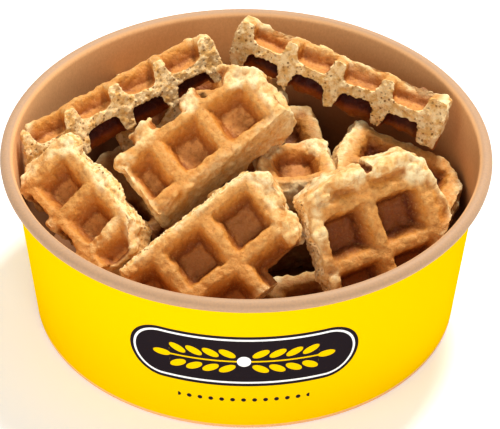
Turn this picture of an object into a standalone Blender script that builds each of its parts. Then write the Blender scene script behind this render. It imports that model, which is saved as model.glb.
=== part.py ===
"""Pieces of baked waffle heaped in a round paper bowl.

Metres, +Z up. The origin is the middle of the bowl's foot, on the surface that it stands on, and the front
of the bowl faces -Y. Every piece of waffle is modelled flat round its own middle, with its cells along X
and Y, and is then placed in the bowl by its location and rotation.
"""

import math
from collections import namedtuple

import bmesh
import bpy
from mathutils import Vector, noise

MM = 0.001

# Bowl: rolled rim, tapered wall, and a foot folded round the skirt of the base.
BOWL_HEIGHT = 69 * MM
RIM_OUTER_RADIUS = 92 * MM
RIM_BEAD_RADIUS = 2.5 * MM
FOOT_RADIUS = 79 * MM
PAPER = 0.5 * MM
FOLD_HEIGHT = 4.6 * MM
BASE_TOP = 5.6 * MM
GAP = 0.3 * MM
ROUND_STEPS = 80
BEAD_STEPS = 10

# Waffle: square cells pressed into both faces, with a web of crumb between the two floors.
THICKNESS = 19 * MM
RIDGE_WIDTH = 3.8 * MM
SHOULDER = 0.9 * MM
SHOULDER_DROP = 0.9 * MM
WELL_DEPTH = 6.6 * MM
WELL_TAPER = 2.7 * MM
EDGE_BULGE = 1.3 * MM
EDGE_LAYERS = (0.0, 0.28, 0.72, 1.0)
UNEVEN = 0.5 * MM
UNEVEN_SCALE = 14 * MM
UNEVEN_SEED = 1795524487

KRAFT = (0.56, 0.36, 0.19, 1.0)
YELLOW = (0.93, 0.60, 0.01, 1.0)
BAKED = (0.72, 0.36, 0.11, 1.0)

# cell is in mm. columns and rows are widths in cells. edge is how far the baked edge stands out past the
# outermost ridge line, in cells, on the left, right, near and far side. A cut takes away all that lies past
# (u, v), in cells from the first ridge lines, in the direction of heading. A bite takes away the block
# between two such points, where the web between ridges broke off. place is in mm, turn in degrees.
Piece = namedtuple("Piece", "name cell columns rows edge cuts bites place turn")
Cut = namedtuple("Cut", "u v heading")
Bite = namedtuple("Bite", "left near right far")

PIECES = (
    Piece(
        "waffle_stick_back_left", 19.7, (1, 1, 1, 1), (0.88,), (0.05, 0.15, 0.2, 0.0),
        (Cut(2, 0.5, 270), Cut(4.05, 0.7, 40), Cut(0.08, 0.75, 135)), (), (-46.5, 26, 70), (-26, -14, 33),
    ),
    Piece(
        "waffle_stick_back_right", 19.3, (1, 1, 1, 1), (1,), (0.15, 0.25, 0.2, 0.05),
        (Cut(2, 0.5, 270),), (), (33, 41.5, 69.5), (-22, 10, -23),
    ),
    Piece(
        "waffle_chunk_middle", 20.8, (0.75, 1, 1), (1, 1, 1), (0.05, 0.27, 0.2, 0.2),
        (Cut(1, 0.6, 270), Cut(1, 2.35, 90), Cut(0.07, 0.87, 247), Cut(2.9, 2.1, 50), Cut(-0.03, 1, 180)),
        (Bite(-1, 2.1, 0.5, 3), Bite(0.97, 2.06, 1.57, 3), Bite(1.92, 2.03, 2.48, 3)),
        (-18.5, -1, 71.5), (33, -25, 28),
    ),
    Piece(
        "waffle_chunk_left", 19.5, (1, 1, 1), (1, 1), (0.26, 0.2, 0.2, 0.24),
        (Cut(1, 0.8, 270), Cut(2.5, 0.5, 0), Cut(-0.25, 1.05, 225)),
        (Bite(0.16, -1, 0.84, 0.95), Bite(1.16, -1, 1.84, 0.95)), (-61, -29.5, 47), (39, 11, -54),
    ),
    Piece(
        "waffle_chunk_front", 21.6, (1, 1, 1), (1, 1), (0.15, 0.4, 0.2, 0.08),
        (Cut(1, 0.28, 270), Cut(0.35, 1, 180), Cut(3.42, 2, 347)), (Bite(2.33, -1, 5, 0.62),),
        (-11.5, -52, 48), (41, -28, 28),
    ),
    Piece(
        "waffle_chunk_right", 21.4, (1, 1, 0.6), (1, 1, 0.42), (0.14, 0.15, 0.15, 0.12),
        (Cut(1, 0.35, 270), Cut(2.3, 1.55, 9), Cut(2.2, 1.0, 315), Cut(0.1, 2.37, 115), Cut(2.05, 2.35, 50)),
        (), (54, -31.5, 56), (59, -10, 21),
    ),
    Piece(
        "waffle_corner_centre", 21, (1,), (1, 1), (0.12, 0.12, 0.2, 0.06),
        (Cut(1, 0.82, 270), Cut(1.1, 2.0, 45)), (), (20, -10.5, 55), (0, 1, 8),
    ),
    Piece(
        "waffle_chunk_right_back", 19.8, (1, 1), (1, 1), (0.24, 0.2, 0.2, 0.12),
        (Cut(1, 0.5, 270), Cut(2.1, 1.75, 40), Cut(-0.3, 1, 207)), (), (54.5, 8.5, 42), (-3, 15, -18),
    ),
    Piece(
        "waffle_low_left_back", 19.5, (1, 1, 1), (1, 1), (0.15, 0.15, 0.2, 0.15),
        (Cut(1, 0.5, 270),), (), (-35.5, 21, 19.5), (17, 2, -54),
    ),
    Piece(
        "waffle_low_left_front", 19, (1, 1), (1, 1), (0.1, 0.1, 0.2, 0.1),
        (Cut(1, 0.5, 270),), (), (-35.5, -40, 17), (3, -2, 38),
    ),
    Piece(
        "waffle_low_right_back", 20, (1, 1, 1), (1, 1), (0.15, 0.15, 0.2, 0.15),
        (Cut(1, 0.5, 270),), (), (10.5, 36.5, 22), (-2, 10, -75),
    ),
    Piece(
        "waffle_low_right_front", 20.5, (1, 1, 1), (1, 1), (0.15, 0.15, 0.2, 0.15),
        (Cut(1, 0.5, 270),), (), (25.5, -49, 18.8), (16, 1, 20),
    ),
    Piece(
        "waffle_low_back", 19.5, (1, 1, 1), (1, 1), (0.1, 0.1, 0.2, 0.1),
        (Cut(1, 0.4, 270),), (), (-17.5, 46, 51), (-12, -3, 3),
    ),
)


def material(name, colour, roughness, metallic=0.0):
    made = bpy.data.materials.new(name)
    made.use_nodes = True
    shader = made.node_tree.nodes["Principled BSDF"]
    shader.inputs["Base Color"].default_value = colour
    shader.inputs["Roughness"].default_value = roughness
    shader.inputs["Metallic"].default_value = metallic
    return made


def add_object(name, bm, collection, finish):
    mesh = bpy.data.meshes.new(name)
    bm.to_mesh(mesh)
    bm.free()
    made = bpy.data.objects.new(name, mesh)
    made.data.materials.append(finish)
    collection.objects.link(made)
    return made


def turned(name, outline, closed, collection, finish):
    """A profile of (radius, height) points, turned once round Z by a Screw modifier."""
    bm = bmesh.new()
    verts = [bm.verts.new((radius, 0, height)) for radius, height in outline]
    ends = verts[1:] + verts[:1] if closed else verts[1:]
    for start, end in zip(verts, ends):
        bm.edges.new((start, end))
    made = add_object(name, bm, collection, finish)
    screw = made.modifiers.new("Turn", "SCREW")
    screw.steps = ROUND_STEPS
    screw.render_steps = ROUND_STEPS
    screw.use_merge_vertices = True
    screw.merge_threshold = 0.00001
    return made


def wall_radius(height):
    """The wall's outer radius at a height, from the foot up to the middle of the rim's bead."""
    top = RIM_OUTER_RADIUS - 2 * RIM_BEAD_RADIUS + PAPER
    return FOOT_RADIUS + (top - FOOT_RADIUS) * height / (BOWL_HEIGHT - RIM_BEAD_RADIUS)


def bowl_wall(collection, finish):
    middle_radius = RIM_OUTER_RADIUS - RIM_BEAD_RADIUS
    middle_height = BOWL_HEIGHT - RIM_BEAD_RADIUS
    first, last = math.radians(180), math.radians(-140)
    outline = []
    for step in range(BEAD_STEPS + 1):
        angle = first + (last - first) * step / BEAD_STEPS
        outline.append(
            (
                middle_radius + RIM_BEAD_RADIUS * math.cos(angle),
                middle_height + RIM_BEAD_RADIUS * math.sin(angle),
            )
        )
    channel = PAPER + 2 * GAP
    fold_top = wall_radius(FOLD_HEIGHT) - PAPER
    outline += [
        (FOOT_RADIUS, 0),
        (FOOT_RADIUS - 2 * PAPER - channel, 0),
        (fold_top - PAPER - channel, FOLD_HEIGHT),
        (fold_top - channel, FOLD_HEIGHT),
        (FOOT_RADIUS - PAPER - channel, PAPER),
        (FOOT_RADIUS - PAPER, PAPER),
        (fold_top, FOLD_HEIGHT),
    ]
    return turned("bowl_wall", outline, True, collection, finish)


def bowl_base(collection, finish):
    """The disc that closes the bowl, with its skirt down in the foot's fold."""
    skirt_foot = PAPER + GAP
    top_radius = wall_radius(BASE_TOP) - PAPER - GAP
    foot_radius = wall_radius(skirt_foot) - PAPER - GAP
    outline = [
        (0, BASE_TOP),
        (top_radius, BASE_TOP),
        (foot_radius, skirt_foot),
        (foot_radius - PAPER, skirt_foot),
        (top_radius - PAPER, BASE_TOP - PAPER),
        (0, BASE_TOP - PAPER),
    ]
    return turned("bowl_base", outline, False, collection, finish)


def grid_lines(widths, edge_before, edge_after):
    """Where the grid lines of a slab lie, in cells from its first ridge line."""
    lines = [-edge_before, 0.0]
    for width in widths:
        lines.append(lines[-1] + width)
    return lines + [lines[-1] + edge_after]


def faces_of(geometry):
    return [item for item in geometry if isinstance(item, bmesh.types.BMFace)]


def verts_of(geometry):
    return [item for item in geometry if isinstance(item, bmesh.types.BMVert)]


def slab(across, along, cell):
    """A box with a face for each cell and for each edge strip, and sides that swell at mid thickness."""
    bm = bmesh.new()
    columns, rows = len(across) - 1, len(along) - 1
    bmesh.ops.create_grid(bm, x_segments=columns, y_segments=rows, size=1)
    for vert in bm.verts:
        vert.co.x = across[round((vert.co.x + 1) / 2 * columns)] * cell
        vert.co.y = along[round((vert.co.y + 1) / 2 * rows)] * cell
        vert.co.z = -THICKNESS / 2
    bmesh.ops.reverse_faces(bm, faces=bm.faces)
    skin = list(bm.faces)
    for below, above in zip(EDGE_LAYERS, EDGE_LAYERS[1:]):
        raised = bmesh.ops.extrude_face_region(bm, geom=skin)["geom"]
        if below > 0:
            bmesh.ops.delete(bm, geom=skin, context="FACES")
        skin = faces_of(raised)
        lift = Vector((0, 0, (above - below) * THICKNESS))
        bmesh.ops.translate(bm, vec=lift, verts=verts_of(raised))
    bmesh.ops.recalc_face_normals(bm, faces=bm.faces)
    middle = Vector(((across[0] + across[-1]) / 2 * cell, (along[0] + along[-1]) / 2 * cell, 0))
    for vert in bm.verts:
        if abs(vert.co.z) < THICKNESS / 2 * 0.99:
            outward = Vector((vert.co.x - middle.x, vert.co.y - middle.y, 0))
            vert.co += outward.normalized() * EDGE_BULGE
    return bm


def press_wells(bm, across, along, cell):
    """Presses a tapered well into every cell of both faces, which leaves the ridges between them."""
    wells = []
    for face in bm.faces:
        centre = face.calc_center_median() / cell
        inside = across[1] < centre.x < across[-2] and along[1] < centre.y < along[-2]
        if inside and abs(face.normal.z) > 0.9:
            wells.append(face)
    steps = (
        (RIDGE_WIDTH / 2, 0),
        (SHOULDER, -SHOULDER_DROP),
        (WELL_TAPER, SHOULDER_DROP - WELL_DEPTH),
    )
    for thickness, depth in steps:
        bmesh.ops.inset_individual(
            bm, faces=wells, thickness=thickness, depth=depth, use_even_offset=True
        )


def warp(bm, seed):
    """Moves every point a little, so that no two cells are alike."""
    for vert in bm.verts:
        where = vert.co / UNEVEN_SCALE + Vector((seed * 7.3, seed * 3.1, seed * 5.7))
        vert.co += noise.noise_vector(where) * UNEVEN


def cut_away(bm, cut, cell):
    heading = math.radians(cut.heading)
    outward = Vector((math.cos(heading), math.sin(heading), 0))
    point = Vector((cut.u * cell, cut.v * cell, 0))
    everything = list(bm.verts) + list(bm.edges) + list(bm.faces)
    split = bmesh.ops.bisect_plane(
        bm, geom=everything, dist=0.000001, plane_co=point, plane_no=outward, clear_outer=True
    )
    rim = [item for item in split["geom_cut"] if isinstance(item, bmesh.types.BMEdge)]
    bmesh.ops.edgeloop_fill(bm, edges=rim)


def bite_cutter(piece, middle, cutters):
    """The blocks that a piece's bites take away, as one hidden object."""
    cell = piece.cell * MM
    bm = bmesh.new()
    for bite in piece.bites:
        block = bmesh.ops.create_cube(bm, size=1)["verts"]
        size = Vector(((bite.right - bite.left) * cell, (bite.far - bite.near) * cell, 2 * THICKNESS))
        centre = Vector(((bite.left + bite.right) / 2 * cell, (bite.near + bite.far) / 2 * cell, 0))
        bmesh.ops.scale(bm, vec=size, verts=block)
        bmesh.ops.translate(bm, vec=centre + middle, verts=block)
    mesh = bpy.data.meshes.new(piece.name + "_bites")
    bm.to_mesh(mesh)
    bm.free()
    cutter = bpy.data.objects.new(mesh.name, mesh)
    cutter.hide_render = True
    cutter.display_type = "WIRE"
    cutters.objects.link(cutter)
    return cutter


def waffle(piece, seed, collection, cutters, finish):
    cell = piece.cell * MM
    left, right, near, far = piece.edge
    across = grid_lines(piece.columns, left, right)
    along = grid_lines(piece.rows, near, far)
    bm = slab(across, along, cell)
    press_wells(bm, across, along, cell)
    warp(bm, seed)
    for cut in piece.cuts:
        cut_away(bm, cut, cell)
    bmesh.ops.recalc_face_normals(bm, faces=bm.faces)
    middle = Vector((-sum(piece.columns) / 2 * cell, -sum(piece.rows) / 2 * cell, 0))
    bmesh.ops.translate(bm, vec=middle, verts=bm.verts)
    made = add_object(piece.name, bm, collection, finish)
    placed = [made]
    if piece.bites:
        bites = made.modifiers.new("Bites", "BOOLEAN")
        bites.object = bite_cutter(piece, middle, cutters)
        placed.append(bites.object)
    for item in placed:
        item.location = Vector(piece.place) * MM
        item.rotation_euler = [math.radians(angle) for angle in piece.turn]
    return made


def main():
    for old in list(bpy.data.objects):
        bpy.data.objects.remove(old)
    collection = bpy.data.collections.new("waffle_bowl")
    bpy.context.scene.collection.children.link(collection)
    cutters = bpy.data.collections.new("cutters")
    bpy.context.scene.collection.children.link(cutters)
    kraft = material("kraft_paper", KRAFT, 0.8)
    printed = material("printed_paper", YELLOW, 0.4)
    baked = material("baked_waffle", BAKED, 0.6)
    bowl_wall(collection, printed)
    bowl_base(collection, kraft)
    noise.seed_set(UNEVEN_SEED)
    for seed, piece in enumerate(PIECES, start=1):
        waffle(piece, seed, collection, cutters, baked)


main()
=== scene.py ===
"""Cut pieces of baked waffle in a round paper bowl: the shape and finish of every surface, the floor, the
lights and the camera.

Metres, +Z up, the bowl's front towards -Y. A waffle piece is modelled flat round its own middle, from the
cells, place and turn of its solid with a few small changes, and is then turned into its place. It has the
lips, bulges and torn crumb that the solid leaves out.
"""

import math
from collections import namedtuple

import bpy
import numpy as np
from mathutils import Euler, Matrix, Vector

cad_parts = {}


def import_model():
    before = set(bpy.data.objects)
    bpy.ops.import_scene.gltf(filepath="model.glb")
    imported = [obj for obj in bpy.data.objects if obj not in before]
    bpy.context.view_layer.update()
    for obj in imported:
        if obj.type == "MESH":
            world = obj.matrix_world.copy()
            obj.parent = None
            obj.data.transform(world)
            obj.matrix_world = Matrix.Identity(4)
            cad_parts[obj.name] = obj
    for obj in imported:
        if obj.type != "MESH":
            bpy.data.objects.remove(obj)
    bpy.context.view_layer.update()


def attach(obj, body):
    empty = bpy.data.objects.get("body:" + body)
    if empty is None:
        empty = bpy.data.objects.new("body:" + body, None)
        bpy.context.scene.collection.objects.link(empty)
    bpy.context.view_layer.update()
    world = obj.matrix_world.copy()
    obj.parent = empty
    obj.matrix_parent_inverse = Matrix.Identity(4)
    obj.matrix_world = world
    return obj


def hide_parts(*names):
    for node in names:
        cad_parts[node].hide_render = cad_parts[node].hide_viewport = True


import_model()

MM = 0.001

# Paper bowl: one sheet rolled outwards at the rim and folded inwards round the skirt of the base. The ends
# of the sheet lap at the back. Turns, headings and angles are in degrees.
BOWL_HEIGHT = 69 * MM
RIM_RADIUS = 92 * MM
BEAD_RADIUS = 2.5 * MM
FOOT_RADIUS = 79 * MM
PAPER = 0.5 * MM
FOLD_HEIGHT = 4.6 * MM
FOOT_GAP = 0.3 * MM
BASE_TOP = 5.6 * MM
PRINT_FOOT = 1.7 * MM
ROUND_STEPS = 192
BEAD_STEPS = 16
BEAD_TURN = 320
WALL_STEPS = 14
LAP_COLUMNS = 3
LAP_HEADING = 97
LAP_LIFT = PAPER * 0.75
LAP_PAPER = PAPER * 0.6
SMOOTH_ANGLE = 40

# Waffle: as thick as the solids, with slightly narrower ridges and wider floors.
THICKNESS = 19 * MM
RIDGE_WIDTH = 2.9 * MM
SHOULDER = 0.8 * MM
SHOULDER_DROP = 0.6 * MM
WELL_DEPTH = 6.4 * MM
WELL_RIM = 2.0 * MM
WELL_DISH = 0.9 * MM
NARROW_CELL = 15.2 * MM
GROOVE_DEPTH = 2.2 * MM
GROOVE_TAPER = 2.0 * MM
EDGE_BULGE = 1.3 * MM
EDGE_LAYERS = (0.28, 0.72)
FINE_VOXEL = 0.55 * MM
COARSE_VOXEL = 0.8 * MM
ROUNDING = 0.5
ROUNDING_STEPS = 2
BULGE_SEGMENTS = 24
BULGE_RINGS = 12
SAME_POINT = 1e-7
NEARLY_LEVEL = 0.9
NEARLY_HALF = 0.49
WEIGHT_LEVELS = 20

# A waffle piece. cell is in mm. columns and rows are widths in cells. edge is how far the sides stand out
# past the outermost ridge lines, in cells, on the left, right, near and far side. place is in mm, turn in
# degrees. The bake values say how brown the top and the underside are, and carry painted shade as well: the
# underside's dark is partly painted shade, so is the dark of chunk_right_back's wells, and the light top of
# low_right_front is painted light. taper is how far, in mm, a well's sides lean in, and drift how far the
# floors of the wells lie off the middles of their mouths. torn names the sides whose crust came away.
USUAL_TAPER = 3.3
Form = namedtuple(
    "Form", "name cell columns rows edge place turn bake cuts bites bulges taper drift torn",
    defaults=((), (), USUAL_TAPER, (0, 0), ()),
)
# A cut takes away what lies past (u, v), in cells from the first ridge lines, in the direction of heading.
# knife is how bare it lays the crumb, and is 0 where the edge was baked or broke. lean is how many degrees
# it faces upwards.
Cut = namedtuple("Cut", "u v heading knife lean", defaults=(0, 0))
# A bite takes away the block between two such points, where the web between ridges broke off.
Bite = namedtuple("Bite", "left near right far")
# A bulge is batter that ran out in the iron. It lies at (u, v), height mm above mid thickness, and reaches
# long, wide and tall mm. pale is how light it stayed.
Bulge = namedtuple("Bulge", "u v height long wide tall pale", defaults=(1,))

FORMS = (
    Form(
        name="stick_back_left", cell=19.7, columns=(1, 1, 1, 1), rows=(0.92,), edge=(0.05, 0.15, 0.2, 0.0),
        place=(-46.5, 25.2, 69), turn=(-24.7, -12, 30.8), bake=(0.34, 1.6), taper=1.2,
        cuts=(Cut(2, 0.5, 270, 1), Cut(4.05, 0.7, 40), Cut(0.08, 0.75, 135)),
        bulges=(
            Bulge(4.02, 0.6, 3, 3.5, 4, 6), Bulge(0.0, 0.62, -2, 3.5, 4, 6),
            Bulge(2, 0.9, -7, 40, 3, 4.5, 0),
        ),
    ),
    Form(
        name="stick_back_right", cell=19.3, columns=(1, 1, 1, 1), rows=(1,), edge=(0.15, 0.25, 0.2, 0.05),
        place=(33, 41.5, 69.5), turn=(-22, 10, -23), bake=(0.34, 1.6), taper=1.2,
        cuts=(Cut(2, 0.5, 270, 1), Cut(2, 0.94, 90)),
        bulges=(
            Bulge(0.02, 0.95, 5, 4, 4, 4), Bulge(4.15, 0.75, 0, 3.5, 5, 6),
            Bulge(2, 0.93, -7, 40, 3, 4.5, 0),
        ),
    ),
    Form(
        name="chunk_middle", cell=20.8, columns=(0.75, 1, 1), rows=(1, 1, 1), edge=(0.05, 0.27, 0.2, 0.2),
        place=(-18.5, -1, 71.5), turn=(33, -25, 28), bake=(0.38, 0.6), drift=(-0.6, -2.4),
        cuts=(
            Cut(1, 0.72, 273.5, 0.4, 15), Cut(2.75, 0.74, 292), Cut(1, 2.35, 90), Cut(0.02, 0.72, 235),
            Cut(2.9, 2.1, 50), Cut(0.05, 1, 180),
        ),
        bites=(Bite(-1, 2.1, 0.5, 3), Bite(0.97, 2.06, 1.57, 3), Bite(1.92, 2.03, 2.48, 3)),
        bulges=(
            Bulge(0.7, 2.1, 5.5, 4.6, 3.5, 4), Bulge(1.66, 2.12, 5.5, 3.6, 3.5, 4),
            Bulge(2.62, 2.04, 5.5, 5, 4, 4), Bulge(0.1, 1.95, 6, 4, 3.5, 3.5),
        ),
    ),
    Form(
        name="chunk_left", cell=19.5, columns=(1, 1, 1), rows=(1, 1), edge=(0.26, 0.2, 0.2, 0.1),
        place=(-61, -29.5, 47), turn=(39, 11, -54), bake=(0.36, 0.6), drift=(1.6, -0.8), torn=("far",),
        cuts=(Cut(1, 0.8, 270), Cut(2.5, 0.5, 0), Cut(-0.25, 1.05, 225), Cut(2.2, 2.05, 40)),
        bites=(Bite(0.16, -1, 0.84, 0.95), Bite(1.16, -1, 1.84, 0.95)),
        bulges=(
            Bulge(-0.06, 2.12, 5, 5, 4.5, 4.5), Bulge(-0.24, 1.3, 4, 3.5, 6, 5),
            Bulge(2.0, 1.5, 6.5, 2.2, 9, 2.8), Bulge(1.1, 2.2, 4.5, 10, 3.2, 4.5, 0.4),
        ),
    ),
    Form(
        name="chunk_front", cell=21.6, columns=(1, 1, 1), rows=(1, 1), edge=(0.15, 0.4, 0.2, 0.08),
        place=(-11.5, -52, 48), turn=(41, -28, 28), bake=(0.72, 0.8), drift=(-0.6, -2.4), torn=("far",),
        cuts=(Cut(1, 0.28, 270, 0.5), Cut(0.35, 1, 180), Cut(3.42, 2, 347), Cut(3.3, 1.96, 55)),
        bites=(Bite(2.33, -1, 5, 0.62),),
        bulges=(Bulge(3.08, 0.98, 5.5, 4.5, 7, 4.5),),
    ),
    Form(
        name="chunk_right", cell=21.4, columns=(1, 1, 0.6), rows=(1, 1, 0.42), edge=(0.08, 0.15, 0.15, 0.05),
        place=(54, -31.5, 56), turn=(59, -10, 21), bake=(0.92, 0.7), drift=(-2.8, 0.5), torn=("left",),
        cuts=(
            Cut(1, 0.35, 270), Cut(2.3, 1.55, 9), Cut(2.2, 1.0, 315), Cut(0.1, 2.37, 115),
            Cut(2.05, 2.35, 50),
        ),
        bites=(Bite(1.08, 2.38, 1.24, 3),),
        bulges=(
            Bulge(0.24, 2.27, 6, 5, 3.2, 4), Bulge(0.78, 2.4, 6.5, 5.4, 3.4, 5),
            Bulge(1.5, 2.38, 6.5, 5.4, 3.4, 5), Bulge(1.98, 2.18, 6, 4.5, 4.5, 4.5),
            Bulge(-0.03, 1.8, 5, 4, 8, 4.5), Bulge(-0.05, 1.0, 4, 4, 6, 5),
            Bulge(0.5, 2.16, 0.5, 7.5, 3.4, 5.6, 0), Bulge(1.5, 2.16, 0.5, 7.5, 3.4, 5.6, 0),
        ),
    ),
    Form(
        name="corner_centre", cell=21, columns=(1,), rows=(1, 1), edge=(0.12, 0.12, 0.2, 0.06),
        place=(20, -10.5, 55), turn=(0, 1, 8), bake=(0.5, 1.5),
        cuts=(Cut(1, 0.82, 270), Cut(1.1, 2.0, 45)),
        bulges=(Bulge(0.05, 1.85, 6, 4.5, 4, 4.2), Bulge(0.9, 1.85, 6, 4.5, 4, 4.4)),
    ),
    # The dark wells of this piece are partly a painted shadow, of the stick above it.
    Form(
        name="chunk_right_back", cell=19.8, columns=(1, 1), rows=(1, 1), edge=(0.24, 0.2, 0.2, 0.12),
        place=(54.5, 8.5, 42), turn=(-3, 15, -18), bake=(0.98, 0.9),
        cuts=(Cut(1, 0.5, 270), Cut(2.1, 1.75, 40), Cut(-0.3, 1, 207)),
    ),
    Form(
        name="low_left_back", cell=19.5, columns=(1, 1, 1), rows=(1, 1), edge=(0.15, 0.15, 0.2, 0.15),
        place=(-35.5, 21, 19.5), turn=(17, 2, -54), bake=(0.8, 0.8), cuts=(Cut(1, 0.5, 270, 1),),
    ),
    Form(
        name="low_left_front", cell=19, columns=(1, 1), rows=(1, 1), edge=(0.1, 0.1, 0.2, 0.1),
        place=(-35.5, -40, 17), turn=(3, -2, 38), bake=(0.6, 0.6), cuts=(Cut(1, 0.5, 270, 1),),
    ),
    Form(
        name="low_right_back", cell=20, columns=(1, 1, 1), rows=(1, 1), edge=(0.15, 0.15, 0.2, 0.15),
        place=(10.5, 36.5, 22), turn=(-2, 10, -75), bake=(0.6, 0.6), cuts=(Cut(1, 0.5, 270, 1),),
    ),
    # Its low bake lightens this piece: painted light, where it lies deep in the heap.
    Form(
        name="low_right_front", cell=20.5, columns=(1, 1, 1), rows=(1, 1), edge=(0.15, 0.15, 0.2, 0.15),
        place=(25.5, -49, 18.8), turn=(16, 1, 20), bake=(0.2, 0.2), cuts=(Cut(1, 0.5, 270, 1),),
    ),
    Form(
        name="low_back", cell=19.5, columns=(1, 1, 1), rows=(1, 1), edge=(0.1, 0.1, 0.2, 0.1),
        place=(-17.5, 46, 51), turn=(-12, -3, 3), bake=(0.6, 0.6), cuts=(Cut(1, 0.4, 270, 1),),
    ),
)


# ---------------------------------------------------------------- materials


class Field:
    """A number that changes over a surface: a socket that takes part in Python's arithmetic."""

    def __init__(self, finish, socket):
        self.finish = finish
        self.socket = socket

    def math(self, operation, *values):
        return self.finish.math(operation, self, *values)

    def __add__(self, other):
        return self.finish.math("ADD", self, other)

    def __sub__(self, other):
        return self.finish.math("SUBTRACT", self, other)

    def __mul__(self, other):
        return self.finish.math("MULTIPLY", self, other)

    def __rsub__(self, other):
        return self.finish.math("SUBTRACT", other, self)

    __radd__ = __add__
    __rmul__ = __mul__

    def over(self, low, high):
        """0 below low, 1 above high and a smooth step between them; high may be the lower one."""
        if low > high:
            return 1 - self.over(high, low)
        step = self.finish.node(
            "ShaderNodeMapRange", {"interpolation_type": "SMOOTHSTEP"},
            {"Value": self, "From Min": low, "From Max": high},
        )
        return Field(self.finish, step.outputs["Result"])


class Finish:
    """A material that is built up from nodes."""

    def __init__(self, name, **settings):
        self.material = bpy.data.materials.new(name)
        self.material.use_nodes = True
        self.tree = self.material.node_tree
        self.shader = self.tree.nodes["Principled BSDF"]
        self.place = self.node("ShaderNodeTexCoord").outputs["Object"]
        for socket, value in settings.items():
            self.shader.inputs[socket.replace("_", " ")].default_value = value

    def connect(self, socket, value):
        if isinstance(value, Field):
            value = value.socket
        if isinstance(value, bpy.types.NodeSocket):
            self.tree.links.new(value, socket)
        else:
            socket.default_value = value

    def node(self, kind, settings=None, inputs=None):
        """Adds a node: its settings first, and then the values or links of its sockets."""
        made = self.tree.nodes.new(kind)
        for name, value in (settings or {}).items():
            setattr(made, name, value)
        for name, value in (inputs or {}).items():
            self.connect(made.inputs[name], value)
        return made

    def math(self, operation, *values):
        made = self.node("ShaderNodeMath", {"operation": operation}, dict(enumerate(values)))
        return Field(self, made.outputs[0])

    def attribute(self, name):
        return Field(self, self.node("ShaderNodeAttribute", {"attribute_name": name}).outputs["Fac"])

    def axes(self):
        split = self.node("ShaderNodeSeparateXYZ", None, {"Vector": self.place})
        return [Field(self, split.outputs[axis]) for axis in "XYZ"]

    def noise(self, size, detail=2.0, stretch=(1, 1, 1), roughness=0.5, twist=0.0):
        """Cloudy noise, 0 to 1, whose lumps are about size metres across."""
        spread = self.node(
            "ShaderNodeMapping", None, {"Vector": self.place, "Scale": [value / size for value in stretch]}
        )
        made = self.node(
            "ShaderNodeTexNoise", None,
            {"Vector": spread.outputs["Vector"], "Scale": 1.0, "Detail": detail, "Roughness": roughness,
             "Distortion": twist},
        )
        return Field(self, made.outputs["Fac"])

    def cells(self, size):
        """Points scattered about size metres apart: Distance, in sizes, from the nearest, and its Color."""
        spread = self.node("ShaderNodeMapping", None, {"Vector": self.place, "Scale": [1 / size] * 3})
        return self.node("ShaderNodeTexVoronoi", None, {"Vector": spread.outputs["Vector"], "Scale": 1.0})

    def blend(self, amount, under, over, kind="MIX"):
        """Lays one colour over another. A Mix node takes colours at inputs 6 and 7, and gives one at 2."""
        made = self.node("ShaderNodeMix", {"data_type": "RGBA", "blend_type": kind})
        self.connect(made.inputs[0], amount)
        self.connect(made.inputs[6], under)
        self.connect(made.inputs[7], over)
        return made.outputs[2]

    def ramp(self, amount, stops):
        made = self.node("ShaderNodeValToRGB", None, {"Fac": amount})
        while len(made.color_ramp.elements) < len(stops):
            made.color_ramp.elements.new(0.5)
        for element, (position, colour) in zip(made.color_ramp.elements, stops):
            element.position = position
            element.color = (*colour, 1)
        return made.outputs["Color"]

    def bump(self, height, distance, strength=1.0, under=None):
        inputs = {"Height": height, "Distance": distance, "Strength": strength}
        if under:
            inputs["Normal"] = under
        return self.node("ShaderNodeBump", None, inputs).outputs["Normal"]

    def set(self, **values):
        for name, value in values.items():
            self.connect(self.shader.inputs[name.replace("_", " ")], value)
        return self.material


def rgb(red, green, blue):
    """A colour of the screen, 0 to 255, as the linear values that materials take, by the sRGB curve."""
    return tuple(
        value / 12.92 if value <= 0.04045 else ((value + 0.055) / 1.055) ** 2.4
        for value in (red / 255, green / 255, blue / 255)
    )


# The waffle's colours: the wells and ridges, then what lies over them, then the crumb.
WELL_BROWN = (0.66, 0.27, 0.062)
# Painted shade in the crease at the foot of a well's walls.
WELL_FOOT_SHADE = (0.3, 0.075, 0.006)
WALL_BROWN = (0.46, 0.14, 0.015)
WALL_GOLD = (0.64, 0.25, 0.038)
RIDGE_TAN = (0.62, 0.26, 0.055)
RIDGE_GOLD = (0.76, 0.42, 0.12)
CREAM = (0.88, 0.6, 0.25)
BUTTER = (0.92, 0.76, 0.42)
TOAST = (0.28, 0.078, 0.009)
SCORCH = (0.26, 0.12, 0.04)
UNDERSIDE_BAKE_AND_SHADE = (0.42, 0.18, 0.05)
CRUMB = (1.0, 0.72, 0.36)
CRUMB_SHADE = (0.8, 0.44, 0.13)
PORE = (0.3, 0.115, 0.02)

# The crust's colour by its relief, from the floors of the wells at 0 to the tops of the ridges at 1. The
# ridges and walls are browned as baked; the dark ring near the foot of the walls is painted shade.
CRUST = (
    (0.0, WELL_BROWN), (0.08, WELL_BROWN), (0.2, WELL_FOOT_SHADE), (0.52, WALL_BROWN), (0.84, WALL_GOLD),
    (0.95, RIDGE_TAN), (1.0, RIDGE_TAN),
)

# Sizes of the patterns in the crust and the crumb, and how far they rise and sink.
PATCH_SIZE = 10 * MM
MOTTLE_SIZE = 2.4 * MM
SPECKLE_SIZE = 1.0 * MM
GRIT_SIZE = 0.7 * MM
HOLE_SIZE = 1.6 * MM
SMALL_HOLE_SIZE = 0.9 * MM
CRUMB_TONE_SIZE = 3.2 * MM
LUMP_RISE = 0.5 * MM
PIT_DEPTH = 0.35 * MM

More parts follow.
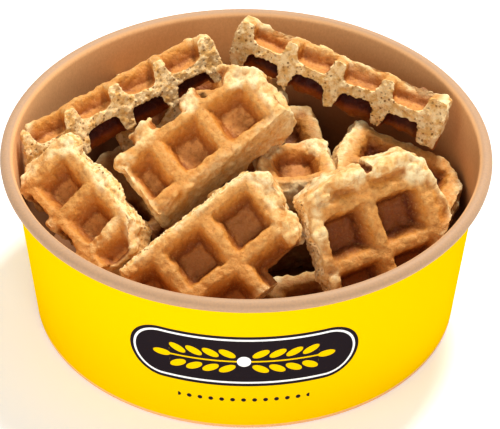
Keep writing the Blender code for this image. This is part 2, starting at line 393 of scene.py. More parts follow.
# Painted shade: the deep parts of the heap and of the wall's inside are darkened, in full below the first
# height of each pair and not at all above the second.
DEEP_SHADE = (0.30, 0.22, 0.18)
DEEP_SHADE_FOOT = 20 * MM
DEEP_SHADE_TOP = 42 * MM
PAPER_SHADE_FOOT = 33 * MM
PAPER_SHADE_TOP = 55 * MM


def waffle_finish():
    """Crust, and crumb where it is bare, from what note_baking and note_standing write on a piece."""
    finish = Finish("baked_waffle", Specular_IOR_Level=0.2)
    relief = finish.attribute("relief")
    bake = finish.attribute("bake")
    pale = finish.attribute("pale")
    crumb = finish.attribute("crumb")
    stand = finish.attribute("stand")

    patches = finish.noise(PATCH_SIZE, 3, roughness=0.6)
    mottle = finish.noise(MOTTLE_SIZE, 4, roughness=0.65, twist=0.4)
    grit = finish.noise(GRIT_SIZE, 3, roughness=0.6)

    crust = finish.ramp(relief + (mottle - 0.5) * 0.3, CRUST)
    # The higher a piece's bake, the darker its wells: browning, and painted shade on undersides and shaded
    # pieces.
    scorched = (bake * 1.6 - 0.55) * relief.over(0.95, 0.25)
    crust = finish.blend(scorched, crust, (*SCORCH, 1), "MULTIPLY")
    # Ridges are gold in patches, with a painted highlight where they stand out, and toasted where they
    # aren't pale, a little less where they stand out.
    golden_and_highlight = (relief * 0.5 + stand * 0.25 + mottle * 0.9 + patches * 0.5 - 0.32).over(0.75, 1.25)
    crust = finish.blend(golden_and_highlight, crust, (*RIDGE_GOLD, 1))
    toasted = (patches * 0.5 + mottle * 0.7 + 0.17 - stand * 0.15).over(0.7, 0.95) * (1 - pale) * 0.5
    crust = finish.blend(toasted, crust, (*TOAST, 1))
    # Lips and bulges stayed cream, with butter-coloured patches, and a painted highlight where they stand
    # out.
    creamy_and_highlight = pale * (mottle * 0.9 + patches * 0.9 + stand * 0.15).over(0.6, 1.1) * 0.9
    crust = finish.blend(creamy_and_highlight, crust, finish.blend(patches.over(0.45, 0.62), (*CREAM, 1), (*BUTTER, 1)))
    # Creases are darkened with painted shade.
    crease_shade = (0 - stand).over(0.1, 1.1) * 0.8
    crust = finish.blend(crease_shade, crust, (*TOAST, 1), "MULTIPLY")
    # Fine speckles, dark and gold.
    speckle = finish.noise(SPECKLE_SIZE, 4, roughness=0.75)
    crust = finish.blend(speckle.over(0.53, 0.66) * (0.42 - pale * 0.26), crust, (*TOAST, 1))
    crust = finish.blend(speckle.over(0.46, 0.34) * (0.1 + relief * 0.25), crust, (*RIDGE_GOLD, 1))
    # A bake above 1 is kept for undersides, which are a dark red-brown, partly baked so and partly painted
    # shade.
    crust = finish.blend(bake.over(1.0, 1.5), crust, (*UNDERSIDE_BAKE_AND_SHADE, 1), "MULTIPLY")

    # The crumb has open pores, at some of the scattered points, and fine ones.
    holes = finish.cells(HOLE_SIZE)
    small_holes = finish.cells(SMALL_HOLE_SIZE)
    chance = finish.node("ShaderNodeSeparateXYZ", None, {"Vector": holes.outputs["Color"]})
    chosen = Field(finish, chance.outputs["X"])
    open_pore = Field(finish, holes.outputs["Distance"]).over(0.4, 0.16) * chosen.over(0.25, 0.6)
    fine_pore = Field(finish, small_holes.outputs["Distance"]).over(0.3, 0.1) * 0.45
    pores = open_pore.math("MAXIMUM", fine_pore)
    tone = finish.noise(CRUMB_TONE_SIZE, 4, roughness=0.65)
    inside = finish.blend(tone.over(0.4, 0.62), (*CRUMB, 1), (*CRUMB_SHADE, 1))
    inside = finish.blend(pores * (0.4 + patches.over(0.42, 0.56) * 0.55), inside, (*PORE, 1))

    bared = (crumb + (mottle - 0.5) * 0.3).over(0.3, 0.62)
    colour = finish.blend(bared, crust, inside)
    z = finish.axes()[2]
    # Painted shade: the low parts of the heap are darkened.
    colour = finish.blend(z.over(DEEP_SHADE_TOP, DEEP_SHADE_FOOT), colour, (*DEEP_SHADE, 1), "MULTIPLY")
    lumps = finish.bump(mottle, LUMP_RISE, 0.8)
    return finish.set(
        Base_Color=colour,
        Roughness=0.52 + bared * 0.35 + (grit - 0.5) * 0.3,
        Normal=finish.bump(grit - pores * bared, PIT_DEPTH, 1.0, lumps),
    )


# The paper's colours, the sizes of its fibres, and where the rim's browner tone starts and is full.
KRAFT = rgb(240, 184, 124)
KRAFT_DARK = rgb(212, 152, 96)
KRAFT_PALE = rgb(226, 186, 142)
KRAFT_RIM = rgb(168, 133, 102)
YELLOW = rgb(240, 192, 0)
YELLOW_LIGHT = rgb(244, 196, 0)
INK = rgb(34, 27, 30)
WHITE = rgb(246, 244, 238)
FIBRE_SIZE = 0.8 * MM
TONE_SIZE = 14 * MM
FLECK_SIZE = 0.55 * MM
FIBRE_RISE = 0.06 * MM
PRINTED_FIBRE_RISE = 0.03 * MM
RIM_TONE_START = RIM_RADIUS - 1.9 * BEAD_RADIUS
RIM_TONE_FULL = RIM_RADIUS - 1.3 * BEAD_RADIUS


def kraft_fields(finish):
    """Paper fibre, cloudy tone and scattered flecks."""
    fibre = finish.noise(FIBRE_SIZE, 4, stretch=(1, 1, 0.7), roughness=0.7)
    cloud = finish.noise(TONE_SIZE, 2)
    fleck = finish.noise(FLECK_SIZE, 1, stretch=(1, 1, 0.6))
    return fibre, cloud, fleck


def kraft_finish():
    finish = Finish("kraft_paper", Specular_IOR_Level=0.3)
    fibre, cloud, fleck = kraft_fields(finish)
    colour = finish.blend(fibre.over(0.3, 0.7) * 0.4 + cloud * 0.2, (*KRAFT, 1), (*KRAFT_DARK, 1))
    colour = finish.blend(fleck.over(0.68, 0.8) * 0.4, colour, (*KRAFT_PALE, 1))
    x, y, z = finish.axes()
    radius = (x * x + y * y).math("SQRT")
    on_rim = radius.over(RIM_TONE_START, RIM_TONE_FULL)
    colour = finish.blend(on_rim * (1 - fibre.over(0.3, 0.7) * 0.2), colour, (*KRAFT_RIM, 1))
    # Painted shade darkens only the inside of the wall, low down: there the radius, less the wall's
    # slope, is short of the foot's.
    within = radius - z * ((RIM_RADIUS - FOOT_RADIUS) / BOWL_HEIGHT)
    inside = within.over(FOOT_RADIUS - PAPER / 2, FOOT_RADIUS - PAPER)
    paper_shade = z.over(PAPER_SHADE_TOP, PAPER_SHADE_FOOT) * inside
    colour = finish.blend(paper_shade, colour, (*DEEP_SHADE, 1), "MULTIPLY")
    return finish.set(
        Base_Color=colour,
        Roughness=0.62 + (fibre - 0.5) * 0.2,
        Normal=finish.bump(fibre, FIBRE_RISE, 0.7),
    )


# The printed badge: a dark bar with round ends, a fine line inside it and an ear of grain along it, a white
# disc in the middle, and a row of dots underneath. Distances are in mm along the wall and up from the foot.
WALL_MIDDLE_RADIUS = 84 * MM
FRONT_FADE = 10 * MM
BADGE_HEIGHT = 35.5
BADGE_HALF_LENGTH = 31.0
BADGE_ROUND = 13.0
LINE_IN = 1.9
LINE_WIDTH = 0.9
STALK_HALF_LENGTH = 31.0
STALK_WIDTH = 0.7
GRAIN_SPACING = 6.2
GRAINS_EACH_WAY = 4
GRAIN_LONG = 3.4
GRAIN_WIDE = 1.55
GRAIN_OUT = 3.9
GRAIN_TILT = 28
DISC_RADIUS = 2.6
DOTS_HEIGHT = 15.2
DOT_SPACING = 4.2
DOT_RADIUS = 0.95
DOTS_HALF_LENGTH = 25.5
SOFT_EDGE = 0.12


def badge(finish):
    """(ink, white, yellow) masks of the print, from the place round the wall and the height."""
    x, y, z = finish.axes()
    along = finish.math("ARCTAN2", x, 0 - y) * (WALL_MIDDLE_RADIUS / MM)
    up = z * (1 / MM) - BADGE_HEIGHT
    aside = along.math("ABSOLUTE")

    def covers(distance):
        return distance.over(SOFT_EDGE, -SOFT_EDGE)

    def length(a, b):
        return (a * a + b * b).math("SQRT")

    past_end = (aside - BADGE_HALF_LENGTH).math("MAXIMUM", 0.0)
    bar = length(past_end, up) - BADGE_ROUND
    line = (bar + LINE_IN).math("ABSOLUTE") - LINE_WIDTH / 2
    stalk = length((aside - STALK_HALF_LENGTH).math("MAXIMUM", 0.0), up) - STALK_WIDTH / 2

    step = (aside - GRAIN_SPACING / 2).math("MODULO", GRAIN_SPACING) - GRAIN_SPACING / 2
    rise = up.math("ABSOLUTE") - GRAIN_OUT
    turn = math.radians(GRAIN_TILT)
    long = (step * math.cos(turn) + rise * math.sin(turn)) * (1 / GRAIN_LONG)
    wide = (rise * math.cos(turn) - step * math.sin(turn)) * (1 / GRAIN_WIDE)
    grains = (length(long, wide) - 1) * GRAIN_WIDE
    first = GRAIN_SPACING / 2 - aside
    last = aside - GRAIN_SPACING * (GRAINS_EACH_WAY + 0.5)
    grains = grains.math("MAXIMUM", first).math("MAXIMUM", last)
    tips = length((aside - STALK_HALF_LENGTH) * (1 / GRAIN_LONG), up * (1 / GRAIN_WIDE))
    tips = (tips - 1) * GRAIN_WIDE
    disc = length(along, up) - DISC_RADIUS

    below = z * (1 / MM) - DOTS_HEIGHT
    beat = (aside + DOT_SPACING / 2).math("MODULO", DOT_SPACING) - DOT_SPACING / 2
    dots = (length(beat, below) - DOT_RADIUS).math("MAXIMUM", aside - DOTS_HALF_LENGTH)

    front = (0 - y).over(0, FRONT_FADE)
    ink = covers(bar).math("MAXIMUM", covers(dots)) * front
    white = covers(line).math("MAXIMUM", covers(disc)) * front
    ear = covers(stalk).math("MAXIMUM", covers(grains)).math("MAXIMUM", covers(tips))
    return ink, white, ear * front * (1 - covers(disc))


def print_finish():
    finish = Finish("printed_paper", Specular_IOR_Level=0.0)
    fibre, cloud, _ = kraft_fields(finish)
    ink, white, ear = badge(finish)
    colour = finish.blend(fibre.over(0.35, 0.75) * 0.06 + cloud * 0.04, (*YELLOW, 1), (*YELLOW_LIGHT, 1))
    colour = finish.blend(ink, colour, (*INK, 1))
    colour = finish.blend(white, colour, (*WHITE, 1))
    colour = finish.blend(ear, colour, (*YELLOW, 1))
    return finish.set(
        Base_Color=colour,
        Roughness=0.46 + (fibre - 0.5) * 0.12,
        Normal=finish.bump(fibre, PRINTED_FIBRE_RISE, 0.5),
    )


# ---------------------------------------------------------------- shaping by hand


def deselect_all():
    if bpy.context.mode != "OBJECT":
        bpy.ops.object.mode_set(mode="OBJECT")
    bpy.ops.object.select_all(action="DESELECT")


def hold(piece):
    """Makes piece the only selected object, and the active one."""
    deselect_all()
    piece.select_set(True)
    bpy.context.view_layer.objects.active = piece


def edit_all(piece):
    """Goes into edit mode with all of a piece selected."""
    hold(piece)
    bpy.ops.object.mode_set(mode="EDIT")
    bpy.ops.mesh.select_all(action="SELECT")


def pick(piece, part, wanted):
    """Goes into edit mode with only those faces or points selected that wanted accepts."""
    hold(piece)
    mesh = piece.data
    for group in (mesh.vertices, mesh.edges, mesh.polygons):
        group.foreach_set("select", [False] * len(group))
    if part == "FACE":
        for face in mesh.polygons:
            face.select = wanted(face.center, face.normal)
    elif part == "VERT":
        for vert in mesh.vertices:
            vert.select = wanted(vert.co)
    bpy.ops.object.mode_set(mode="EDIT")
    bpy.ops.mesh.select_mode(type=part)


def finish_modifier(piece, kind, **settings):
    """Adds a modifier and applies it."""
    hold(piece)
    made = piece.modifiers.new(kind.title(), kind)
    for name, value in settings.items():
        setattr(made, name, value)
    bpy.ops.object.modifier_apply(modifier=made.name)


def split_at(piece, place, normal, clear=False):
    """Cuts all of a piece along a plane; clear takes away what lies past it and closes the cut."""
    edit_all(piece)
    bpy.ops.mesh.bisect(
        plane_co=place, plane_no=normal, clear_outer=clear, use_fill=clear, threshold=SAME_POINT
    )
    bpy.ops.object.mode_set(mode="OBJECT")


def points_of(piece):
    places = np.empty(len(piece.data.vertices) * 3, np.float32)
    piece.data.vertices.foreach_get("co", places)
    return places.reshape(-1, 3).astype(float)


def record(piece, name, values):
    """Keeps a number for each point on the mesh, for the material to read."""
    attribute = piece.data.attributes.new(name, "FLOAT", "POINT")
    attribute.data.foreach_set("value", np.asarray(values, np.float32))


def weight(piece, name, values):
    """A vertex group with each point's weight, 0 to 1, rounded to one of WEIGHT_LEVELS levels."""
    group = piece.vertex_groups.new(name=name)
    levels = np.round(np.clip(values, 0, 1) * WEIGHT_LEVELS).astype(int)
    for level in range(1, WEIGHT_LEVELS + 1):
        chosen = np.flatnonzero(levels == level)
        if len(chosen):
            group.add(chosen.tolist(), level / WEIGHT_LEVELS, "REPLACE")


def smooth_step(low, high, values):
    """0 at low, 1 at high and a smooth step between them; high may be the lower one."""
    share = np.clip((values - low) / (high - low), 0, 1)
    return share * share * (3 - 2 * share)


# ---------------------------------------------------------------- waffle


def lines_of(widths, before, after):
    """The near side, each ridge line from the first, at 0, and the far side, in cells."""
    lines = [-before, 0.0]
    for width in widths:
        lines.append(lines[-1] + width)
    return lines + [lines[-1] + after]


def batter_slab(form):
    """A flat slab with its wells pressed into both faces, and sides that swell."""
    cell = form.cell * MM
    left, right, near, far = form.edge
    across = [(line - sum(form.columns) / 2) * cell for line in lines_of(form.columns, left, right)]
    along = [(line - sum(form.rows) / 2) * cell for line in lines_of(form.rows, near, far)]
    size = Vector((across[-1] - across[0], along[-1] - along[0], THICKNESS))
    middle = Vector(((across[-1] + across[0]) / 2, (along[-1] + along[0]) / 2, 0))

    deselect_all()
    bpy.ops.mesh.primitive_cube_add(size=1, location=middle)
    piece = bpy.context.object
    piece.name = form.name
    piece.scale = size
    bpy.ops.object.transform_apply(location=True, rotation=True, scale=True)
    for lines, normal in ((across, (1, 0, 0)), (along, (0, 1, 0))):
        for line in lines[1:-1]:
            if lines[0] < line < lines[-1]:
                split_at(piece, Vector(normal) * line, normal)
    for layer in EDGE_LAYERS:
        split_at(piece, (0, 0, (layer - 0.5) * THICKNESS), (0, 0, 1))

    pick(piece, "VERT", lambda place: abs(place.z) < THICKNESS * NEARLY_HALF)
    swell = [(side + 2 * EDGE_BULGE) / side for side in size.xy]
    bpy.ops.transform.resize(value=(*swell, 1), center_override=middle)
    bpy.ops.object.mode_set(mode="OBJECT")

    def widths_round(centre):
        for place, lines in ((centre.x, across), (centre.y, along)):
            for low, high in zip(lines[1:-2], lines[2:-1]):
                if low < place < high:
                    yield high - low

    def is_cell(centre, normal, narrow):
        widths = list(widths_round(centre))
        level = abs(normal.z) > NEARLY_LEVEL
        return level and len(widths) == 2 and (min(widths) < NARROW_CELL) == narrow

    mouth = ((RIDGE_WIDTH / 2, 0), (SHOULDER, SHOULDER_DROP))
    press(piece, lambda *face: is_cell(*face, False), mouth)
    press(piece, None, ((form.taper * MM, WELL_DEPTH - SHOULDER_DROP),))
    bpy.ops.transform.translate(value=(form.drift[0] * MM, form.drift[1] * MM, 0))
    press(piece, None, ((WELL_RIM, WELL_DISH),))
    press(piece, lambda *face: is_cell(*face, True), (*mouth, (GROOVE_TAPER, GROOVE_DEPTH - SHOULDER_DROP)))
    bpy.ops.object.mode_set(mode="OBJECT")
    return piece


def press(piece, wanted, steps):
    """Presses each wanted face in by steps of (inset, depth), or goes on with the faces pressed before."""
    if wanted:
        pick(piece, "FACE", wanted)
    for thickness, depth in steps:
        bpy.ops.mesh.inset(thickness=thickness, depth=-depth, use_individual=True)


def spot(form, u, v, height=0.0):
    """A place on a flat piece, from its cells and a height in metres."""
    cell = form.cell * MM
    return Vector(((u - sum(form.columns) / 2) * cell, (v - sum(form.rows) / 2) * cell, height))


def outward(cut):
    """The direction that a cut faces."""
    heading, lean = math.radians(cut.heading), math.radians(cut.lean)
    return (math.cos(heading) * math.cos(lean), math.sin(heading) * math.cos(lean), math.sin(lean))


def cut_to_form(piece, form, with_knife):
    """Makes the cuts that a knife made, or else those along which the piece broke or was baked."""
    for cut in form.cuts:
        if (cut.knife > 0) == with_knife:
            split_at(piece, spot(form, cut.u, cut.v), outward(cut), clear=True)


def break_webs(piece, form):
    for bite in form.bites:
        near, far = spot(form, bite.left, bite.near), spot(form, bite.right, bite.far)
        deselect_all()
        bpy.ops.mesh.primitive_cube_add(size=1, location=(near + far) / 2)
        block = bpy.context.object
        block.scale = (far.x - near.x, far.y - near.y, 2 * THICKNESS)
        bpy.ops.object.transform_apply(location=True, rotation=True, scale=True)
        finish_modifier(piece, "BOOLEAN", object=block)
        bpy.data.objects.remove(block)


def add_bulges(piece, form):
    for bulge in form.bulges:
        deselect_all()
        bpy.ops.mesh.primitive_uv_sphere_add(
            segments=BULGE_SEGMENTS, ring_count=BULGE_RINGS, radius=MM,
            location=spot(form, bulge.u, bulge.v, bulge.height * MM),
        )
        lump = bpy.context.object
        lump.scale = (bulge.long, bulge.wide, bulge.tall)
        bpy.ops.object.transform_apply(location=True, rotation=True, scale=True)
        piece.select_set(True)
        bpy.context.view_layer.objects.active = piece
        bpy.ops.object.join()


# Where the baking changes: each pair is the two places between which it fades. SIDE ones are measured out
# past the outermost ridge lines, CUT ones out past a cut, IS_SIDE_FACE in from the top or the underside, and
# IS_UNDERSIDE up from mid thickness. BULGE_IS_PALE is in shares of the bulge's own reach, and the last two
# pairs are in relief, which is 0 on the floors of the wells and 1 on the ridges.
SIDE_IS_CRUST = (0, 1.5 * MM)
SIDE_IS_PALE = (-0.8 * MM, 2.4 * MM)
SIDE_IS_TORN = (0.8 * MM, 2.4 * MM)
CUT_IS_CRUST = (-1.5 * MM, -0.5 * MM)
CUT_IS_BARE = (-0.9 * MM, -0.35 * MM)
CUT_IS_PALE = (-3.5 * MM, -0.5 * MM)
IS_SIDE_FACE = (0.4 * MM, 1.6 * MM)
IS_UNDERSIDE = (0, -4 * MM)
BULGE_IS_PALE = (1.7, 1.1)
PALE_RELIEF = (0.4, 0.85)
PALE_BULGE_RELIEF = (0.7, 0.95)
SIDE_RELIEF = 0.95
CUT_RELIEF = 0.9
CUT_PALE = 0.8
WELL_PALE = 0.1
BARE_KNIFE = 0.5


def note_baking(piece, form):
    """Writes down, point by point, how the piece was baked and where its crumb is bare."""
    cell = form.cell * MM
    flat = points_of(piece)
    u = flat[:, 0] / cell + sum(form.columns) / 2
    v = flat[:, 1] / cell + sum(form.rows) / 2
    height = np.abs(flat[:, 2])
    past = {"left": -u, "right": u - sum(form.columns), "near": -v, "far": v - sum(form.rows)}
    outermost = np.max(list(past.values()), axis=0) * cell
    past_cuts = [(flat - np.array(spot(form, cut.u, cut.v))) @ np.array(outward(cut)) for cut in form.cuts]

    depth = WELL_DEPTH + WELL_DISH
    relief = np.clip((height - (THICKNESS / 2 - depth)) / depth, 0, 1)
    relief = np.maximum(relief, SIDE_RELIEF * smooth_step(*SIDE_IS_CRUST, outermost))
    for cut, beyond in zip(form.cuts, past_cuts):
        if cut.knife < BARE_KNIFE:
            relief = np.maximum(relief, CUT_RELIEF * smooth_step(*CUT_IS_CRUST, beyond))

    raised = WELL_PALE + (1 - WELL_PALE) * smooth_step(*PALE_RELIEF, relief)
    pale = smooth_step(*SIDE_IS_PALE, outermost) * raised
    crumb = np.zeros(len(flat))
    side_face = smooth_step(*IS_SIDE_FACE, THICKNESS / 2 - height)
    for side in form.torn:
        crumb = np.maximum(crumb, smooth_step(*SIDE_IS_TORN, past[side] * cell) * side_face)
    for cut, beyond in zip(form.cuts, past_cuts):
        crumb = np.maximum(crumb, smooth_step(*CUT_IS_BARE, beyond) * cut.knife)
        pale = np.maximum(pale, smooth_step(*CUT_IS_PALE, beyond) * (1 - cut.knife) * CUT_PALE * raised)
    for bulge in form.bulges:
        away = flat - np.array(spot(form, bulge.u, bulge.v, bulge.height * MM))
        reach = np.array((bulge.long, bulge.wide, bulge.tall)) * MM
        share = np.sqrt(((away / reach) ** 2).sum(axis=1))
        on_bulge = smooth_step(*BULGE_IS_PALE, share) * smooth_step(*PALE_BULGE_RELIEF, relief)
        pale = np.maximum(pale, bulge.pale * on_bulge)

    top_bake, under_bake_and_shade = form.bake
    record(piece, "relief", relief)
    record(piece, "pale", pale)
    record(piece, "crumb", crumb)
    # The underside's bake is partly painted shade.
    record(piece, "bake", top_bake + (under_bake_and_shade - top_bake) * smooth_step(*IS_UNDERSIDE, flat[:, 2]))
    weight(piece, "rim", pale * (1 - crumb))
    weight(piece, "crumb", crumb)
    weight(piece, "crust", 1 - crumb)


STANDING_PASSES = 14
STANDING_SHARE = 0.6


def note_standing(piece):
    """Writes down how far each point stands out of the smoothed surface round it, in mm."""
    mesh = piece.data
    pairs = np.empty(len(mesh.edges) * 2, np.int32)
    mesh.edges.foreach_get("vertices", pairs)
    first, second = pairs.reshape(-1, 2).T
    places = points_of(piece)
    normals = np.empty(len(places) * 3, np.float32)
    mesh.vertices.foreach_get("normal", normals)
    normals = normals.reshape(-1, 3)
    count = np.bincount(pairs, minlength=len(places))[:, None]
    soft = places
    for _ in range(STANDING_PASSES):
        total = np.stack(
            [
                np.bincount(first, soft[second, axis], len(places))
                + np.bincount(second, soft[first, axis], len(places))
                for axis in range(3)
            ],
            axis=1,
        )
        soft = (1 - STANDING_SHARE) * soft + STANDING_SHARE * total / count
    record(piece, "stand", ((places - soft) * normals).sum(axis=1) / MM)


# How the baked surface swells and the bare crumb tears. lump is the size of the lumps and reach how far they
# stand out, in mm. level is the tone of the clouds that stays where it is, and points the group of points
# that moves.
Swell = namedtuple("Swell", "name lump contrast direction reach level points")

SWELLS = (
    Swell("lean", 16, 1.0, "RGB_TO_XYZ", 1.8, 0.5, ""),
    Swell("lumps", 5, 1.5, "NORMAL", 1.1, 0.5, "crust"),
    Swell("baked_rim", 7, 1.6, "NORMAL", 2.6, 0.5, "rim"),
    Swell("blisters", 2.0, 1.5, "NORMAL", 0.55, 0.5, "crust"),
    Swell("torn_crumb", 3.2, 2.0, "NORMAL", 1.0, 0.6, "crumb"),
    Swell("crumb_holes", 1.3, 2.2, "NORMAL", 0.8, 0.6, "crumb"),
)
CLOUD_DETAIL = 2


def clouds(swell):
    made = bpy.data.textures.new(swell.name, "CLOUDS")
    made.noise_scale = swell.lump * MM
    made.noise_depth = CLOUD_DETAIL
    made.contrast = swell.contrast
    return made


def swell_and_tear(piece, textures):
    for swell, texture in zip(SWELLS, textures):
        finish_modifier(
            piece, "DISPLACE", texture=texture, texture_coords="GLOBAL", direction=swell.direction,
            strength=swell.reach * MM, mid_level=swell.level, vertex_group=swell.points,
        )


def waffle(form, textures, finish):
    """One piece: modelled flat, cut, turned into its place, swollen there, and handed over."""
    voxel = COARSE_VOXEL if form.name.startswith("low") else FINE_VOXEL
    piece = batter_slab(form)
    cut_to_form(piece, form, with_knife=False)
    break_webs(piece, form)
    add_bulges(piece, form)
    finish_modifier(piece, "REMESH", mode="VOXEL", voxel_size=voxel)
    finish_modifier(piece, "SMOOTH", factor=ROUNDING, iterations=ROUNDING_STEPS)
    cut_to_form(piece, form, with_knife=True)
    finish_modifier(piece, "REMESH", mode="VOXEL", voxel_size=voxel)
    finish_modifier(piece, "SMOOTH", factor=ROUNDING, iterations=1)
    note_baking(piece, form)
    piece.location = Vector(form.place) * MM
    piece.rotation_euler = Euler([math.radians(angle) for angle in form.turn])
    bpy.context.view_layer.update()
    swell_and_tear(piece, textures)
    hold(piece)
    bpy.ops.object.transform_apply(location=True, rotation=True, scale=True)
    bpy.ops.object.shade_smooth()
    note_standing(piece)
    piece.vertex_groups.clear()
    piece.data.materials.clear()
    piece.data.materials.append(finish)
    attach(piece, "root")
    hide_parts("waffle_" + form.name)


# ---------------------------------------------------------------- paper bowl


def wall_radius(height):
    """The wall's outer radius at a height, from the foot up to the middle of the rim's bead."""
    top = RIM_RADIUS - 2 * BEAD_RADIUS + PAPER
    return FOOT_RADIUS + (top - FOOT_RADIUS) * height / (BOWL_HEIGHT - BEAD_RADIUS)


def is_outside(place):
    """Whether a place lies on the wall, and not on the fold in its foot or outside on the rim."""
    return abs(place.xy.length - wall_radius(place.z)) < 2 * PAPER


def ring(name, outline):
    """A ring of paper without thickness: a circle extruded through (radius, height) points."""
    deselect_all()
    radius, height = outline[0]
    bpy.ops.mesh.primitive_circle_add(vertices=ROUND_STEPS, radius=radius, location=(0, 0, height))
    piece = bpy.context.object
    piece.name = name
    bpy.ops.object.transform_apply(location=True, rotation=True, scale=True)
    bpy.ops.object.mode_set(mode="EDIT")
    bpy.ops.mesh.select_mode(type="EDGE")
    bpy.ops.mesh.select_all(action="SELECT")
    for next_radius, next_height in outline[1:]:
        bpy.ops.mesh.extrude_edges_move()
        bpy.ops.transform.translate(value=(0, 0, next_height - height))
        growth = next_radius / radius
        bpy.ops.transform.resize(value=(growth, growth, 1), center_override=(0, 0, next_height))
        radius, height = next_radius, next_height
    bpy.ops.object.mode_set(mode="OBJECT")
    return piece


def wall_outline():
    """Along the middle of the paper: the fold inside the foot, the wall, and the roll of the rim."""
    half = PAPER / 2
    slack = PAPER + 2 * FOOT_GAP
    outline = [
        (wall_radius(FOLD_HEIGHT) - PAPER - slack - half, FOLD_HEIGHT),
        (FOOT_RADIUS - PAPER - slack - half, 2 * PAPER),
        (FOOT_RADIUS - PAPER - slack, half),
        (FOOT_RADIUS - PAPER, half),
        (wall_radius(PAPER) - half, PAPER),
        (wall_radius(PRINT_FOOT) - half, PRINT_FOOT),
    ]
    middle_height = BOWL_HEIGHT - BEAD_RADIUS
    middle_radius = RIM_RADIUS - BEAD_RADIUS
    for step in range(1, WALL_STEPS):
        height = PRINT_FOOT + (middle_height - PRINT_FOOT) * step / WALL_STEPS
        outline.append((wall_radius(height) - half, height))
    roll = BEAD_RADIUS - half
    for step in range(BEAD_STEPS + 1):
        angle = math.radians(180 - BEAD_TURN * step / BEAD_STEPS)
        outline.append((middle_radius + roll * math.cos(angle), middle_height + roll * math.sin(angle)))
    return outline


def paper_wall(kraft, printed):
    """The wall, with its print on the outside, and its lap seam."""
    piece = ring("paper_wall", wall_outline())
    piece.data.materials.append(kraft)
    piece.data.materials.append(printed)
    for face in piece.data.polygons:
        on_wall = PRINT_FOOT < face.center.z < BOWL_HEIGHT - BEAD_RADIUS
        face.material_index = 1 if on_wall and is_outside(face.center) else 0
    edit_all(piece)
    bpy.ops.mesh.normals_make_consistent(inside=False)
    bpy.ops.object.mode_set(mode="OBJECT")
    on_front = next(face for face in piece.data.polygons if face.material_index == 1)
    if on_front.normal.xy.dot(on_front.center.xy) < 0:
        pick(piece, "FACE", lambda centre, _: True)
        bpy.ops.mesh.flip_normals()
        bpy.ops.object.mode_set(mode="OBJECT")
    lap = lap_seam(piece)
    finish_modifier(piece, "SOLIDIFY", thickness=PAPER, offset=0, material_offset=-1, material_offset_rim=-1)
    return piece, lap


def lap_seam(wall):
    """The strip where the ends of the sheet lap, up the back of the wall."""
    middle = math.radians(LAP_HEADING)
    reach = math.pi / ROUND_STEPS * LAP_COLUMNS
    bead_foot = BOWL_HEIGHT - 2 * BEAD_RADIUS

    def on_lap(centre, _):
        heading = math.atan2(centre.y, centre.x)
        return abs(heading - middle) < reach and PRINT_FOOT < centre.z < bead_foot and is_outside(centre)

    pick(wall, "FACE", on_lap)
    bpy.ops.mesh.duplicate()
    bpy.ops.mesh.separate(type="SELECTED")
    bpy.ops.object.mode_set(mode="OBJECT")
    lap = next(item for item in bpy.context.selected_objects if item != wall)
    lap.name = "paper_lap"
    edit_all(lap)
    bpy.ops.transform.shrink_fatten(value=LAP_LIFT)
    bpy.ops.object.mode_set(mode="OBJECT")
    finish_modifier(lap, "SOLIDIFY", thickness=LAP_PAPER, offset=0, material_offset_rim=-1)
    return lap


def paper_floor(kraft):
    """The disc with its skirt down in the foot's fold."""
    half = PAPER / 2
    top = wall_radius(BASE_TOP) - PAPER - FOOT_GAP - half
    foot = wall_radius(PAPER + FOOT_GAP) - PAPER - FOOT_GAP - half
    outer_ring, inner_ring = top * 0.66, top * 0.33
    piece = ring(
        "paper_floor",
        [
            (foot, PAPER + FOOT_GAP),
            (top, BASE_TOP - 2 * PAPER),
            (top - PAPER / 4, BASE_TOP - PAPER),
            (top - PAPER, BASE_TOP - half),
            (outer_ring, BASE_TOP - half),
            (inner_ring, BASE_TOP - half),
        ],
    )
    pick(piece, "VERT", lambda place: place.xy.length < (inner_ring + outer_ring) / 2)
    bpy.ops.mesh.select_mode(type="EDGE")
    bpy.ops.mesh.edge_face_add()
    bpy.ops.mesh.select_all(action="SELECT")
    bpy.ops.mesh.normals_make_consistent(inside=False)
    bpy.ops.object.mode_set(mode="OBJECT")
    piece.data.materials.append(kraft)
    finish_modifier(piece, "SOLIDIFY", thickness=PAPER, offset=0)
    return piece


def bowl(kraft, printed):
    wall, lap = paper_wall(kraft, printed)
    base = paper_floor(kraft)
    for piece in (wall, lap, base):
        hold(piece)
        bpy.ops.object.shade_smooth_by_angle(angle=math.radians(SMOOTH_ANGLE))
        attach(piece, "root")
    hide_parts("bowl_wall")
    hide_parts("bowl_wall")
    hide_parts("bowl_base")


# ---------------------------------------------------------------- floor, light and camera

FLOOR_SIZE = 8.0
FLOOR_TONES = ((0.93, 0.93, 0.93, 1), (0.95, 0.95, 0.95, 1))
FLOOR_TONE_SIZE = 0.4
FLOOR_GLOW = 0.2
WORLD_STRENGTH = 0.45

# Square lights, aimed at the middle of the rim: place and size in metres, power in watts.
Light = namedtuple("Light", "name place size power")
LIGHTS = (
    Light("key", (0.3, 0.55, 1.35), 0.32, 27.5),
    Light("front", (0.2, -1.55, 0.6), 0.8, 11.0),
    Light("side", (-1.4, -0.8, 0.25), 0.8, 8.0),
)

# The camera as it was fitted to the bowl's rim and foot in the photo. It stands in front of the bowl,
# CAMERA_RISE degrees above the floor, and looks down by PITCH. The focal length is in pixels of the photo.
CAMERA_DISTANCE = 2.0
CAMERA_RISE = 38.83
PITCH = 37.96
YAW = 0.06
ROLL = -0.67
FOCAL_PIXELS = 5243.8
PHOTO_WIDTH = 500
SENSOR_WIDTH = 36.0
CLIP_START = 0.05


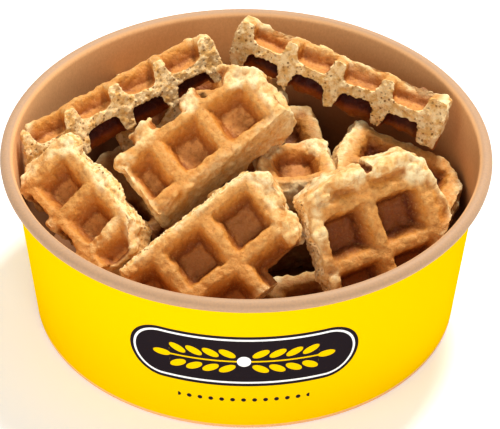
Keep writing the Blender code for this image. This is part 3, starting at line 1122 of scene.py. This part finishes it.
def studio():
    deselect_all()
    bpy.ops.mesh.primitive_plane_add(size=FLOOR_SIZE)
    floor = bpy.context.object
    floor.name = "floor"
    finish = Finish(
        "pale_floor", Roughness=0.9, Specular_IOR_Level=0.1,
        Emission_Color=(1, 1, 1, 1), Emission_Strength=FLOOR_GLOW,
    )
    tone = finish.noise(FLOOR_TONE_SIZE, 2)
    floor.data.materials.append(finish.set(Base_Color=finish.blend(tone, *FLOOR_TONES)))

    scene = bpy.context.scene
    scene.view_settings.view_transform = "Standard"
    world = bpy.data.worlds.new("studio")
    world.use_nodes = True
    background = world.node_tree.nodes["Background"]
    background.inputs["Color"].default_value = (1, 1, 1, 1)
    background.inputs["Strength"].default_value = WORLD_STRENGTH
    scene.world = world

    for light in LIGHTS:
        deselect_all()
        bpy.ops.object.light_add(type="AREA", location=light.place)
        lamp = bpy.context.object
        lamp.name = light.name
        lamp.data.size = light.size
        lamp.data.energy = light.power
        aim = Vector((0, 0, BOWL_HEIGHT)) - Vector(light.place)
        lamp.rotation_euler = aim.to_track_quat("-Z", "Y").to_euler()


def camera():
    rise, pitch, yaw, roll = (math.radians(angle) for angle in (CAMERA_RISE, PITCH, YAW, ROLL))
    place = Vector((0, -math.cos(rise), math.sin(rise))) * CAMERA_DISTANCE
    bpy.ops.object.camera_add(location=place)
    made = bpy.context.object
    made.data.sensor_width = SENSOR_WIDTH
    made.data.lens = FOCAL_PIXELS * SENSOR_WIDTH / PHOTO_WIDTH
    made.data.clip_start = CLIP_START
    look = Vector((math.sin(yaw) * math.cos(pitch), math.cos(yaw) * math.cos(pitch), -math.sin(pitch)))
    turn = look.to_track_quat("-Z", "Y").to_matrix()
    made.rotation_euler = (turn @ Euler((0, 0, -roll)).to_matrix()).to_euler()
    bpy.context.scene.camera = made


def main():
    bpy.context.scene.tool_settings.mesh_select_mode = (False, False, True)
    baked = waffle_finish()
    textures = [clouds(swell) for swell in SWELLS]
    bowl(kraft_finish(), print_finish())
    for form in FORMS:
        waffle(form, textures, baked)
    studio()
    camera()


main()
